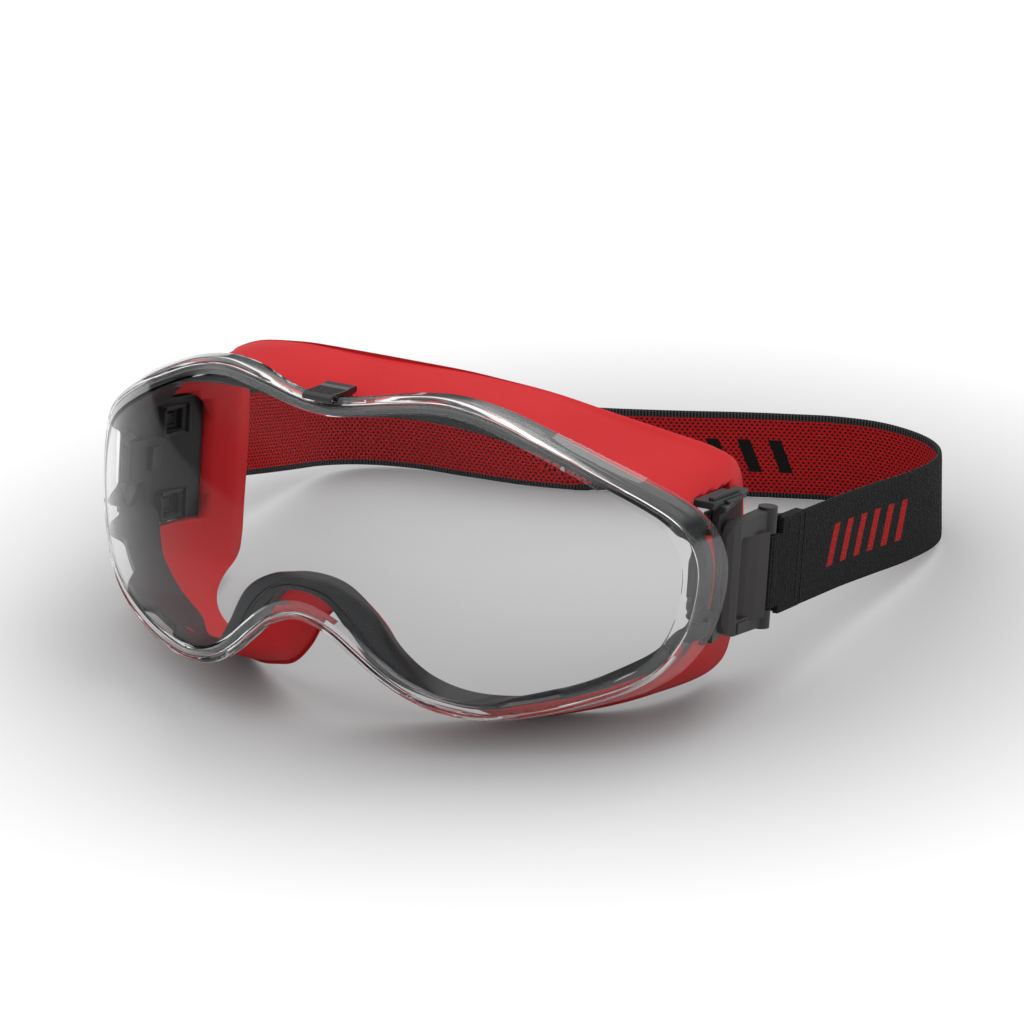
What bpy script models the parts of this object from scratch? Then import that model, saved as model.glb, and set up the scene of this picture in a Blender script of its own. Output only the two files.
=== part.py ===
"""Sports protective goggles with a clear wrap-around lens, a soft face seal and an elastic headband.

The goggles are designed in their own upright frame, in millimetres: X runs across the face (+X is the
wearer's left), -Y is the way that the wearer looks, +Z is up, and the zero point is the middle of the
frame's nose arch. The whole assembly then leans back as it rests on the cheeks of the seal and on the
rear edge of the headband, with the floor at z = 0.
"""

import math

import bmesh
import bpy
import numpy as np
from mathutils import Euler, Matrix, Vector

MM = 0.001
GAP = 0.3

# How the goggles rest: they lean back, and the middle of the nose arch is this high above the floor.
LEAN_DEG = 10.0
ARCH_HEIGHT = 62.0
CENTRE_BACK = 98.2

# Lens: a visor curved both ways, in millimetres.
LENS_PLAN_RADIUS = 110.0
LENS_SIDE_RADIUS = 88.0
LENS_FRONT_Y = -5.7
LENS_MID_Z = -7.0
LENS_THICKNESS = 2.2
FLANGE_DEPTH = 6.0
FLANGE_FLARE = 1.6
FLANGE_THICKNESS = 1.7
LATCH_CUT_HALF = 9.0
LATCH_CUT_RAMP = 18.0
NOSE_CUT_HALF = 24.0
NOSE_CUT_RAMP = 16.0

# Frame ring behind the lens.
RING_FRONT = LENS_THICKNESS + GAP + 0.2
RING_DEPTH = 7.0
RING_INSET = 3.4
RING_SIDE_INSET = 2.5

# Face seal.
FACE_RADIUS = 82.0
FACE_FRONT_Y = 35.0
NOSE_REACH = 9.0
NOSE_WIDTH = 26.0
SEAL_WALL = 1.6
LIP_WIDTH = 6.5

# Side housing on each side, between the frame ring and the strap yoke.
HOUSING_FRONT = 53.9
HOUSING_BACK = 77.0
HOUSING_LOW = -28.2
HOUSING_HIGH = 8.8
HOUSING_WALL = 2.6
HOUSING_LEAN = 5.4
COVER_WALL = 1.5
PRONG_LEVELS = (-23.5, 0.5)
PRONG_Y = 66.0

# Strap hardware on each side.
PIVOT_X = 94.0
PIVOT_Y = 76.0
PIN_RADIUS = 1.5
BOSS_RADIUS = 2.6
ARM_TOP = 4.6
ARM_BOTTOM = -27.0
UPPER_ARM_HEIGHT = 6.4
LOWER_ARM_HEIGHT = 4.6
YOKE_INNER = 91.9
YOKE_OUTER = 95.3
SHIELD_OVERLAP = 1.3
PAD_HEIGHT = 0.3
LATCH_HINGE = (0.0, 10.0, 29.6)

# Headband.
STRAP_WIDTH = 26.0
STRAP_THICKNESS = 1.4
STRAP_MID_Z = -11.1
STRAP_END_Y = 92.0
LOOP_MARGIN = 0.5

# Outlines, seen from the front, as points (x, z) of the left half from the top centre to the nose.
RIM = [(0, 31.5), (20, 34.3), (33, 35.2), (45, 32.8), (57.5, 27.5), (70, 20.8), (82, 13), (89, 6), (92.6, -3),
       (93, -13), (91, -24), (86.5, -33), (80, -38.8), (70, -43.3), (58, -47.2), (46, -49.4), (36, -48.2),
       (28, -45), (21, -40.2), (15, -35), (8, -29.5), (0, -27)]
RING_INNER = [(0, 26.4), (20, 28.2), (33, 27.8), (45, 25.9), (57.5, 22), (68, 16.8), (78, 10.5), (84.5, 4.6),
              (88.3, -3), (89, -13), (87.5, -21), (82.5, -28), (77, -32.4), (68, -37.4), (57, -41.4), (46, -44.4),
              (38, -44.4), (31.5, -40.8), (25.7, -33.5), (18.5, -22.5), (9.5, -16.6), (0, -15.6)]
RING_NOSE = [(0, -19.4), (7.5, -21.6), (13.5, -29), (19, -36.5), (26.5, -41.5)]
SEAL_LIP = [(0, 37.5), (20, 36.8), (33, 35), (45, 32.2), (57, 27.4), (67.5, 22), (74.5, 16.8), (77.8, 10.5),
            (78.7, -3), (78.7, -14), (78.5, -26), (78.2, -37), (76.6, -44.4), (69, -48.4), (59, -51.8),
            (48, -54.4), (37.5, -54.2), (28.5, -52), (20, -48.8), (13.5, -42.5), (7.5, -33), (0, -27.5)]

OUTLINE_STEPS = 3
COLLECTION = "sports_protective_goggles"


def clear_scene():
    for obj in list(bpy.data.objects):
        bpy.data.objects.remove(obj, do_unlink=True)


def new_collection(name, hidden=False):
    collection = bpy.data.collections.new(name)
    bpy.context.scene.collection.children.link(collection)
    collection.hide_render = hidden
    return collection


def make_material(name, colour, roughness, metallic=0.0, transmission=0.0):
    material = bpy.data.materials.new(name)
    material.use_nodes = True
    shader = material.node_tree.nodes["Principled BSDF"]
    shader.inputs["Base Color"].default_value = (*colour, 1.0)
    shader.inputs["Roughness"].default_value = roughness
    shader.inputs["Metallic"].default_value = metallic
    shader.inputs["Transmission Weight"].default_value = transmission
    return material


clear_scene()
parts = new_collection(COLLECTION)
cutters = new_collection("cutters", hidden=True)
body = bpy.data.objects.new("goggles_body", None)
parts.objects.link(body)
body.rotation_euler = Euler((-math.radians(LEAN_DEG), 0, 0))
body.location = (0, -CENTRE_BACK * MM, ARCH_HEIGHT * MM)

CLEAR = make_material("clear_polycarbonate", (0.93, 0.95, 0.96), 0.04, transmission=1.0)
GREY = make_material("dark_grey_nylon", (0.055, 0.055, 0.058), 0.42)
RED = make_material("red_soft_seal", (0.72, 0.035, 0.045), 0.62)
STRAP = make_material("black_elastic_webbing", (0.02, 0.02, 0.022), 0.85)
STEEL = make_material("steel_pin", (0.5, 0.5, 0.52), 0.3, metallic=1.0)


def smooth_step(value, start, ramp):
    t = np.clip((value - start) / ramp, 0.0, 1.0)
    return t * t * (3 - 2 * t)


def lens_y(x, z):
    """Depth of the lens's front surface at (x, z)."""
    plan = LENS_PLAN_RADIUS - np.sqrt(LENS_PLAN_RADIUS**2 - x**2)
    return LENS_FRONT_Y + plan + (z - LENS_MID_Z) ** 2 / (2 * LENS_SIDE_RADIUS)


def face_y(x, z):
    """Depth of the wearer's face where the seal's lip meets it, with the nose standing forward."""
    cheek = FACE_FRONT_Y + FACE_RADIUS - np.sqrt(FACE_RADIUS**2 - x**2)
    nose = np.exp(-((x / NOSE_WIDTH) ** 2)) * smooth_step(-z, 2.0, 18.0)
    return cheek - NOSE_REACH * nose


def closed_outline(half, steps=OUTLINE_STEPS):
    """The whole outline of a mirrored half, as a smooth curve (Catmull-Rom) through its points."""
    half = np.array(half, float)
    knots = np.vstack([half, half[-2:0:-1] * [-1, 1]])
    t = np.arange(steps)[:, None] / steps
    spans = []
    for i in range(len(knots)):
        a, b, c, d = (knots[(i + k) % len(knots)] for k in (-1, 0, 1, 2))
        spans.append(0.5 * (2 * b + (c - a) * t + (2 * a - 5 * b + 4 * c - d) * t**2
                            + (3 * b - a - 3 * c + d) * t**3))
    return np.vstack(spans)


def inset(outline, distance):
    """The outline moved inwards by a distance, which may differ from point to point."""
    along = np.roll(outline, -1, 0) - np.roll(outline, 1, 0)
    along /= np.linalg.norm(along, axis=1)[:, None]
    inward = np.stack([along[:, 1], -along[:, 0]], 1)
    return outline + inward * np.reshape(distance, (-1, 1))


def at_depth(outline, y):
    return np.column_stack([outline[:, 0], y, outline[:, 1]])


def on_lens(outline, back):
    """Points of an outline, this far behind the lens's front surface."""
    return at_depth(outline, lens_y(outline[:, 0], outline[:, 1]) + back)


def new_object(name, bm, material, smooth_angle=35, origin=(0, 0, 0)):
    """A mesh object whose points are given in millimetres in the goggles' own frame, as its origin is."""
    bmesh.ops.recalc_face_normals(bm, faces=bm.faces)
    bmesh.ops.translate(bm, vec=-Vector(origin), verts=bm.verts)
    bmesh.ops.scale(bm, vec=(MM, MM, MM), verts=bm.verts)
    mesh = bpy.data.meshes.new(name)
    bm.to_mesh(mesh)
    bm.free()
    obj = bpy.data.objects.new(name, mesh)
    parts.objects.link(obj)
    obj.parent = body
    obj.location = Vector(origin) * MM
    if material:
        mesh.materials.append(material)
        mesh.shade_smooth()
        mesh.set_sharp_from_angle(angle=math.radians(smooth_angle))
    return obj


def bridge(bm, ring_a, ring_b, closed=True):
    count = len(ring_a)
    for i in range(count if closed else count - 1):
        j = (i + 1) % count
        bm.faces.new((ring_a[i], ring_a[j], ring_b[j], ring_b[i]))


def loft(name, rings, material, ends=None, **options):
    """A solid through rings of points. It closes on itself, or on a middle point at each end."""
    bm = bmesh.new()
    loops = [[bm.verts.new(point) for point in ring] for ring in rings]
    for ring_a, ring_b in zip(loops, loops[1:]):
        bridge(bm, ring_a, ring_b)
    if ends is None:
        bridge(bm, loops[-1], loops[0])
    else:
        for loop, end in zip((loops[0], loops[-1]), ends):
            tip = bm.verts.new(end)
            for i, vertex in enumerate(loop):
                bm.faces.new((vertex, loop[(i + 1) % len(loop)], tip))
    return new_object(name, bm, material, **options)


def block(bm, low, high):
    """A box between two corners, added to a mesh."""
    low, high = Vector(low), Vector(high)
    made = bmesh.ops.create_cube(bm, size=1.0)
    size = high - low
    bmesh.ops.scale(bm, vec=size, verts=made["verts"])
    bmesh.ops.translate(bm, vec=(low + high) / 2, verts=made["verts"])


def box(name, low, high, material, **options):
    bm = bmesh.new()
    block(bm, low, high)
    return new_object(name, bm, material, **options)


def prism(name, outline, low, high, material, axis="Z", **options):
    """An outline pushed along an axis. It is in (x, y) for the Z axis and in (y, z) for the X axis."""
    bm = bmesh.new()
    bottom, top = [], []
    for a, b in outline:
        bottom.append(bm.verts.new((a, b, low) if axis == "Z" else (low, a, b)))
        top.append(bm.verts.new((a, b, high) if axis == "Z" else (high, a, b)))
    bridge(bm, bottom, top)
    bm.faces.new(bottom)
    bm.faces.new(top)
    return new_object(name, bm, material, **options)


def cylinder(name, centre, low, high, radius, material, segments=32, **options):
    """An upright cylinder in the goggles' frame, between two heights."""
    bm = bmesh.new()
    place = Matrix.Translation((centre[0], centre[1], (low + high) / 2))
    bmesh.ops.create_cone(bm, cap_ends=True, segments=segments, radius1=radius, radius2=radius,
                          depth=high - low, matrix=place)
    return new_object(name, bm, material, **options)


def as_cutter(obj):
    for collection in list(obj.users_collection):
        collection.objects.unlink(obj)
    cutters.objects.link(obj)
    obj.hide_render = True
    obj.display_type = "WIRE"
    return obj


def boolean(obj, tool, operation="DIFFERENCE"):
    modifier = obj.modifiers.new(operation.lower(), "BOOLEAN")
    modifier.operation = operation
    modifier.object = as_cutter(tool)


def bevel(obj, width, segments=2, angle=40):
    modifier = obj.modifiers.new("rounded_edges", "BEVEL")
    modifier.width = width * MM
    modifier.segments = segments
    modifier.limit_method = "ANGLE"
    modifier.angle_limit = math.radians(angle)


def side_name(name, side):
    return f"{name}_{'left' if side > 0 else 'right'}"


def mirrored(points, side):
    return [(side * x, *rest) for x, *rest in points]


def make_lens():
    """The clear visor: a curved face with a rim that turns back into a flange, cut away at the latch."""
    rim = closed_outline(RIM)
    x, z = np.abs(rim[:, 0]), rim[:, 1]
    top_cut = np.where(z > 0, smooth_step(x, LATCH_CUT_HALF, LATCH_CUT_RAMP), 1.0)
    nose_cut = np.where(z < 0, smooth_step(x, NOSE_CUT_HALF, NOSE_CUT_RAMP), 1.0)
    share = top_cut * nose_cut
    depth = LENS_THICKNESS + (FLANGE_DEPTH - LENS_THICKNESS) * share
    flare = FLANGE_FLARE * share * smooth_step(x, 30.0, 55.0)
    centre = np.array([0.0, 2.0])
    shares = (0.1, 0.35, 0.58, 0.74, 0.86, 0.94)
    rings = [on_lens(centre + (rim - centre) * part, 0.0) for part in shares]
    rings.append(on_lens(inset(rim, 1.5), 0.0))
    rings.append(on_lens(inset(rim, 0.45), 0.25))
    rings.append(on_lens(rim, 1.0))
    rings.append(on_lens(inset(rim, -flare), depth))
    inner = FLANGE_THICKNESS * np.ones(len(rim))
    rings.append(on_lens(inset(rim, inner - flare), depth))
    rings.append(on_lens(inset(rim, inner + 0.2), LENS_THICKNESS + 0.01))
    rings += [on_lens(centre + (rim - centre) * part, LENS_THICKNESS) for part in shares[::-1]]
    middle = lens_y(0.0, centre[1])
    ends = ((0, middle, centre[1]), (0, middle + LENS_THICKNESS, centre[1]))
    return loft("lens", rings, CLEAR, ends=ends)


def ring_outlines():
    """The frame ring's outer and inner outlines. The outer one leaves the lens's edge over the nose."""
    rim = closed_outline(RIM, 1)
    side = smooth_step(np.abs(rim[:, 0]), 76.0, 14.0)
    outer_half = inset(rim, RING_INSET + (RING_SIDE_INSET - RING_INSET) * side)[: len(RIM)]
    outer_half[0, 0] = 0.0
    outer_half[len(RIM) - len(RING_NOSE):] = RING_NOSE[::-1]
    return closed_outline(outer_half), closed_outline(RING_INNER)


def make_frame_ring():
    """The hard carrier that the lens clips to, a closed ring with a step for the lens's edge."""
    outer, inner = ring_outlines()
    rings = [
        on_lens(outer, RING_FRONT),
        on_lens(outer * 0.5 + inner * 0.5, RING_FRONT),
        on_lens(inner, RING_FRONT + 1.4),
        on_lens(inner, RING_FRONT + RING_DEPTH),
        on_lens(outer, RING_FRONT + RING_DEPTH),
    ]
    return loft("frame_ring", rings, GREY)


def make_face_seal():
    """The soft skirt between the frame ring and the face, with a lip turned inwards along the face."""
    outer, inner = ring_outlines()
    lip = closed_outline(SEAL_LIP)
    front_y = RING_FRONT + RING_DEPTH + GAP
    root = inset(outer, 0.4)
    root_in = root + (inner - root) * 0.55
    lip_y = face_y(lip[:, 0], lip[:, 1])

    def between(share, bulge, thickness):
        flat = root * (1 - share) + inset(lip, thickness) * share
        y = (lens_y(root[:, 0], root[:, 1]) + front_y) * (1 - share) + lip_y * share
        return at_depth(inset(flat, thickness * (1 - share) - bulge), y)

    lip_in = inset(lip, LIP_WIDTH)
    lip_in_y = face_y(lip_in[:, 0], lip_in[:, 1])
    rings = [
        on_lens(root, front_y),
        between(0.35, 1.2, 0.0),
        between(0.7, 1.0, 0.0),
        at_depth(lip, lip_y - 1.5),
        at_depth(inset(lip, 1.2), lip_y),
        at_depth(lip_in, lip_in_y - 1.0),
        at_depth(lip_in, lip_in_y - 2.2),
        at_depth(inset(lip, SEAL_WALL + 1.0), lip_y - SEAL_WALL - 1.8),
        between(0.7, 1.0, SEAL_WALL),
        between(0.35, 1.2, SEAL_WALL),
        on_lens(root_in, front_y + 1.2),
        on_lens(root_in, front_y),
    ]
    seal = loft("face_seal", rings, RED, smooth_angle=60)
    for side in (1, -1):
        reach = sorted((80.0 * side, 97.0 * side))
        low = (reach[0], HOUSING_FRONT - GAP, HOUSING_LOW - GAP)
        high = (reach[1], HOUSING_BACK + GAP, HOUSING_HIGH + GAP)
        boolean(seal, box(side_name("seal_side_notch", side), low, high, None))
    return seal


def housing_outline(front_x, thickness, overhang=0.0):
    """A side plate seen from above, from front to back, leaning in towards the head."""
    back_x = front_x - HOUSING_LEAN
    return [(front_x + overhang, HOUSING_FRONT), (back_x + overhang, HOUSING_BACK),
            (back_x - thickness, HOUSING_BACK), (front_x - thickness, HOUSING_FRONT)]


def prong_window(name, side, level, half_width, half_height):
    low = (min(78 * side, 96 * side), PRONG_Y - half_width, level - half_height)
    high = (max(78 * side, 96 * side), PRONG_Y + half_width, level + half_height)
    return box(name, low, high, None)


def make_side_housing(side):
    """The hard side plate behind the ring, with a ledge along its top and windows for the yoke's prongs."""
    name = side_name("side_housing", side)
    plate = housing_outline(91.4, HOUSING_WALL)
    ledge = housing_outline(91.4, HOUSING_WALL + 0.6, 1.5)
    levels = [(HOUSING_LOW, plate), (6.6, plate), (7.2, ledge), (HOUSING_HIGH, ledge)]
    bm = bmesh.new()
    loops = [[bm.verts.new((x * side, y, z)) for x, y in outline] for z, outline in levels]
    for loop_a, loop_b in zip(loops, loops[1:]):
        bridge(bm, loop_a, loop_b)
    bm.faces.new(loops[0])
    bm.faces.new(loops[-1])
    housing = new_object(name, bm, GREY)
    for level in PRONG_LEVELS:
        boolean(housing, prong_window(f"{name}_window", side, level, 2.4, 1.9))
    bevel(housing, 0.4)
    return housing


def make_side_cover(side):
    """The inner panel of the side, with two recesses that the yoke's prongs snap into."""
    name = side_name("side_cover", side)
    outline = housing_outline(91.4 - HOUSING_WALL - GAP, COVER_WALL)
    cover = prism(name, mirrored(outline, side), HOUSING_LOW, 6.4, GREY)
    for level in PRONG_LEVELS:
        boolean(cover, prong_window(f"{name}_recess", side, level, 3.4, 2.9))
    bevel(cover, 0.3)
    return cover


def make_strap_yoke(side):
    """The C-shaped clip on the side: a rounded front bar, two arms with bosses, a curved shield and two prongs.

    The lower arm has a flat pad on its outer side.
    """
    name = side_name("strap_yoke", side)
    arm_low = ARM_BOTTOM + LOWER_ARM_HEIGHT
    arm_high = ARM_TOP - UPPER_ARM_HEIGHT
    outline = [(54.6, -22.5), (55.4, -25.2), (57.6, -26.3), (PIVOT_Y, ARM_BOTTOM), (PIVOT_Y, arm_low),
               (60.2, arm_low), (59.2, arm_low + 0.8), (59.2, -0.9), (60.2, -0.1), (PIVOT_Y, arm_high),
               (PIVOT_Y, ARM_TOP), (57.6, 4.3), (55.4, 3.2), (54.6, 0.8)]
    low, high = sorted((YOKE_INNER * side, (YOKE_OUTER + 0.2) * side))
    yoke = prism(name, outline, low, high, GREY, axis="X")
    plan = [(YOKE_INNER - 1, 54.0), (93.2, 54.4), (94.7, 55.9), (YOKE_OUTER, 58.6), (YOKE_OUTER, PIVOT_Y + 1),
            (YOKE_INNER - 1, PIVOT_Y + 1)]
    boolean(yoke, prism(f"{name}_plan", mirrored(plan, side), -40.0, 20.0, None), "INTERSECT")
    shield = [(92.2, 62.4), (93.0, 61.7), (94.6, 64.4), (96.0, 68.2), (97.0, 72.4), (95.6, 72.1), (94.5, 68.6),
              (93.3, 65.4)]
    low, high = arm_low - SHIELD_OVERLAP, arm_high + SHIELD_OVERLAP
    boolean(yoke, prism(f"{name}_shield", mirrored(shield, side), low, high, None), "UNION")
    centre = (PIVOT_X * side, PIVOT_Y)
    boolean(yoke, cylinder(f"{name}_low_boss", centre, ARM_BOTTOM - 0.5, arm_low, BOSS_RADIUS, None), "UNION")
    boolean(yoke, cylinder(f"{name}_high_boss", centre, arm_high, ARM_TOP + 0.7, BOSS_RADIUS, None), "UNION")
    for level in PRONG_LEVELS:
        inner, outer = sorted((85.6 * side, 92.4 * side))
        low, high = (inner, PRONG_Y - 2.0, level - 1.4), (outer, PRONG_Y + 2.0, level + 1.4)
        boolean(yoke, box(f"{name}_prong", low, high, None), "UNION")
    hole = cylinder(f"{name}_pin_hole", centre, ARM_BOTTOM - 2.0, ARM_TOP - 0.6, PIN_RADIUS + GAP, None)
    boolean(yoke, hole)
    bevel(yoke, 0.35)
    low, high = sorted(((YOKE_OUTER - 0.6) * side, (YOKE_OUTER + PAD_HEIGHT) * side))
    pad = box(f"{name}_pad", (low, 60.0, -25.9), (high, 65.0, -23.2), None)
    boolean(yoke, pad, "UNION")
    return yoke


def make_pivot_pin(side):
    """The pin between the yoke's arms that the end of the headband turns on."""
    centre = (PIVOT_X * side, PIVOT_Y)
    high = ARM_TOP - 0.6 - GAP
    pin = cylinder(side_name("pivot_pin", side), centre, ARM_BOTTOM - 0.2, high, PIN_RADIUS, STEEL, segments=24)
    bevel(pin, 0.25)
    return pin


def arc(centre, radius, start_deg, end_deg, count):
    angles = np.radians(np.linspace(start_deg, end_deg, count))
    return [(centre[0] + radius * math.cos(a), centre[1] + radius * math.sin(a)) for a in angles]


def make_strap_end(side):
    """The sewn loop at each end of the headband: narrow around the pin, full width behind the yoke."""
    name = side_name("strap_end", side)
    centre = (PIVOT_X, PIVOT_Y)
    inner_radius = PIN_RADIUS + GAP
    outer_radius = inner_radius + STRAP_THICKNESS
    tail_out, tail_in = 97.1, 97.1 - 2 * STRAP_THICKNESS
    outline = [(tail_in, STRAP_END_Y), (tail_in, 84.5), (92.4, 80.5)]
    outline += arc(centre, outer_radius, 155, 378, 19)
    outline += [(97.25, 82.0), (tail_out, STRAP_END_Y)]
    eye = arc(centre, inner_radius, 155, 378, 15) + [(95.75, 81.2), (95.1, 81.6)]
    low = STRAP_MID_Z - STRAP_WIDTH / 2
    high = STRAP_MID_Z + STRAP_WIDTH / 2
    pivot = (PIVOT_X * side, PIVOT_Y, STRAP_MID_Z)
    end = prism(name, mirrored(outline, side), low, high, STRAP, origin=pivot)
    boolean(end, prism(f"{name}_eye", mirrored(eye, side), low - 1, high + 1, None))
    reach = sorted((80.0 * side, 108.0 * side))
    shoulder = PIVOT_Y + BOSS_RADIUS + 0.9
    arm_low, arm_high = ARM_BOTTOM + LOWER_ARM_HEIGHT, ARM_TOP - UPPER_ARM_HEIGHT
    upper = box(f"{name}_upper_notch", (reach[0], 60.0, arm_high - LOOP_MARGIN), (reach[1], shoulder, 20.0), None)
    lower = box(f"{name}_lower_notch", (reach[0], 60.0, -50.0), (reach[1], shoulder, arm_low + LOOP_MARGIN), None)
    boolean(end, upper)
    boolean(end, lower)
    return end


# The headband's middle line from the wearer's left to the right: (x, y) in the goggles' frame, and the
# height of its lower edge above the floor. It leaves the goggles, comes down and stands on its edge.
STRAP_ROUTE = [(96.4, 92.6, 22.0), (96.0, 106, 19.4), (95.4, 121, 16.4), (94.7, 142, 11.8), (94.4, 164, 7.2),
               (92.6, 185, 3.2), (87.8, 199.8, 0.7), (78.8, 208.2, 0.1), (65, 211.8, 0.1), (51, 210.6, 0.1),
               (38, 206.6, 0.1), (24, 201.6, 0.1), (6, 194.4, 0.1), (-14, 187.2, 0.1), (-34, 182, 0.1),
               (-54, 180, 0.1), (-72, 178.4, 0.2), (-86, 172.8, 0.9), (-93.6, 162.4, 2.9), (-95.4, 145, 7.2),
               (-95.5, 127, 12.3), (-95.9, 110, 17.1), (-96.4, 92.6, 22.0)]
SLIDER_AT = 0.955


def open_curve(points, steps):
    """A smooth open curve (Catmull-Rom) through points."""
    points = np.array(points, float)
    padded = np.vstack([2 * points[0] - points[1], points, 2 * points[-1] - points[-2]])
    t = np.arange(steps)[:, None] / steps
    spans = []
    for a, b, c, d in zip(padded, padded[1:], padded[2:], padded[3:]):
        spans.append(0.5 * (2 * b + (c - a) * t + (2 * a - 5 * b + 4 * c - d) * t**2
                            + (3 * b - a - 3 * c + d) * t**3))
    return np.vstack(spans + [points[-1:]])


def strap_frames(steps=4):
    """Along the headband: its lower edge, its upward width direction and its outward normal."""
    lean = math.radians(LEAN_DEG)
    route = open_curve(STRAP_ROUTE, steps)
    floor_z = (route[:, 1] * math.sin(lean) - ARCH_HEIGHT) / math.cos(lean)
    lower = np.column_stack([route[:, 0], route[:, 1], floor_z + route[:, 2] / math.cos(lean)])
    turn = 1.0 - smooth_step(route[:, 2], 0.5, 14.0)
    up = np.column_stack([0 * turn, -np.sin(lean * turn), np.cos(lean * turn)])
    along = np.gradient(lower, axis=0)
    along /= np.linalg.norm(along, axis=1)[:, None]
    outward = np.cross(along, up)
    outward /= np.linalg.norm(outward, axis=1)[:, None]
    return lower, up, outward, along


def make_headband():
    """The elastic band, one open length between its two sewn ends."""
    lower, up, outward, _ = strap_frames()
    half = STRAP_THICKNESS / 2
    upper = lower + up * STRAP_WIDTH
    corners = [lower - outward * half, upper - outward * half, upper + outward * half, lower + outward * half]
    bm = bmesh.new()
    loops = [[bm.verts.new(corner[i]) for corner in corners] for i in range(len(lower))]
    for loop_a, loop_b in zip(loops, loops[1:]):
        bridge(bm, loop_a, loop_b)
    bm.faces.new(loops[0])
    bm.faces.new(loops[-1])
    return new_object("headband", bm, STRAP, smooth_angle=50)


def slider_place():
    """The slider's own frame on the headband: along the band, outward, and up its width."""
    lower, up, outward, along = strap_frames()
    i = round(SLIDER_AT * (len(lower) - 1))
    centre = lower[i] + up[i] * STRAP_WIDTH / 2
    axes = Matrix((along[i], outward[i], up[i])).transposed().to_4x4()
    return Matrix.Translation(centre) @ axes


def make_strap_slider():
    """The length adjuster: two rails, two outer bars and a middle bar that the band is woven through."""
    place = slider_place()
    clear = STRAP_THICKNESS / 2 + 0.35
    rail = STRAP_WIDTH / 2 + 0.7
    pieces = [
        ((-6.5, -2.6, rail), (6.5, 2.1, rail + 2.2)),
        ((-6.5, -2.6, -rail - 2.2), (6.5, 2.1, -rail)),
        ((-5.9, clear, -rail - 1.0), (-3.6, 1.9, rail + 1.0)),
        ((3.6, clear, -rail - 1.0), (5.9, 1.9, rail + 1.0)),
        ((-1.4, -2.2, -rail - 1.0), (1.4, -clear, rail + 1.0)),
    ]
    objects = []
    for i, (low, high) in enumerate(pieces):
        bm = bmesh.new()
        block(bm, low, high)
        bmesh.ops.transform(bm, matrix=place, verts=bm.verts)
        name = "strap_slider" if i == 0 else f"slider_piece_{i}"
        objects.append(new_object(name, bm, GREY if i == 0 else None, origin=place.translation))
    for i in (2, 3, 4, 1):
        boolean(objects[0], objects[i], "UNION")
    bevel(objects[0], 0.3, segments=1)
    return objects[0]


def make_top_latch():
    """The latch over the top of the lens: a finger bar, a foot on the frame and a hook over the lens's edge."""
    half_width = 4.4
    outline = [(0.3, 30.7), (1.6, 30.7), (1.75, 31.95), (8.2, 31.7), (8.8, 28.8), (11.0, 28.8), (11.4, 31.2),
               (13.4, 31.6), (13.6, 32.8), (12.8, 33.4), (10.2, 33.2), (8.6, 32.9), (1.4, 32.7), (0.3, 32.0)]
    latch = prism("top_latch", outline, -half_width, half_width, GREY, axis="X", origin=LATCH_HINGE)
    bevel(latch, 0.3)
    return latch


make_lens()
make_frame_ring()
make_top_latch()
make_face_seal()
for side in (1, -1):
    make_side_housing(side)
    make_side_cover(side)
    make_strap_yoke(side)
    make_pivot_pin(side)
    make_strap_end(side)
make_headband()
make_strap_slider()
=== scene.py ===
"""Looks of the sports protective goggles: detailed pieces around the CAD part, materials, studio and camera.

Shapes are given in millimetres in the goggles' own upright frame: +X is the wearer's left, -Y is forward, +Z is
up, and zero is the middle of the frame's nose arch. to_row() leans them back and sets them on the floor.
"""

import math

import bmesh
import bpy
import numpy as np
from mathutils import Matrix, Vector


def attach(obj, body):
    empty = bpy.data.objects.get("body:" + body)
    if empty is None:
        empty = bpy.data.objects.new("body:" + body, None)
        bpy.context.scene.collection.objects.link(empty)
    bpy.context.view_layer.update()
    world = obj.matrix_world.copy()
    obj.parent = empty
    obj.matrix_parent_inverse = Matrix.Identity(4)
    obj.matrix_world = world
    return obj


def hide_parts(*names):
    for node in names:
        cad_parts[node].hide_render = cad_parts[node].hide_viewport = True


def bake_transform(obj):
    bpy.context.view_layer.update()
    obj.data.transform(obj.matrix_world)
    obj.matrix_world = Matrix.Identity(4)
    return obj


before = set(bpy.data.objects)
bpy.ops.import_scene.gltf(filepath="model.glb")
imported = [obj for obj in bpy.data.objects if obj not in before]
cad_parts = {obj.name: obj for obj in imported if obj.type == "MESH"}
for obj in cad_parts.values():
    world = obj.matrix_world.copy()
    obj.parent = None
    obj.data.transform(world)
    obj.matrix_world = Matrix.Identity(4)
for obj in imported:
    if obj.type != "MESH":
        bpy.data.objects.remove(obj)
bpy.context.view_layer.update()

MM = 0.001
LEAN = math.radians(10.0)
ARCH_HEIGHT = 62.0
CENTRE_BACK = 98.2
ROOT = "frame"

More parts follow.
